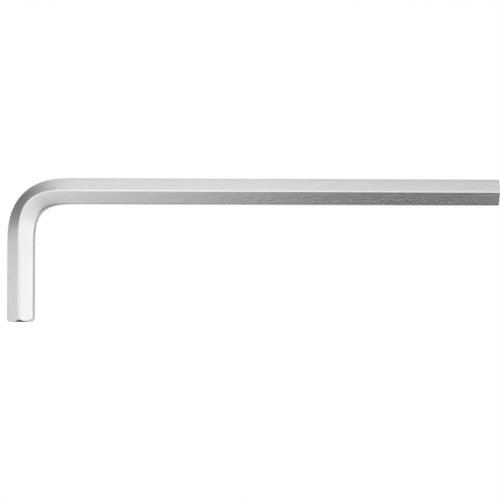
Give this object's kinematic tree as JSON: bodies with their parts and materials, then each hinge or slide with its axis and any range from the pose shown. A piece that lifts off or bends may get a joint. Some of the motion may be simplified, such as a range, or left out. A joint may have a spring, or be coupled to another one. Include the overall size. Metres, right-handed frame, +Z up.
{
  "type": "hex key",
  "caption": "L-shaped hex key bent from hexagonal steel bar, with a long arm cut off square and a short arm whose end is chamfered to enter a hexagon socket.",
  "frame": {"origin": "centre of the bounding box in plan, on the surface that the key lies on", "axes": "+X along the long arm to its free end, -Y along the short arm to its free end, +Z up; the key lies flat on its lower crests"},
  "size_m": [0.152, 0.0446, 0.0091],
  "materials": {
    "plated_steel": "satin nickel plate"
  },
  "bodies": {
    "root": {"hex_key": "plated_steel"}
  },
  "joints": []
}
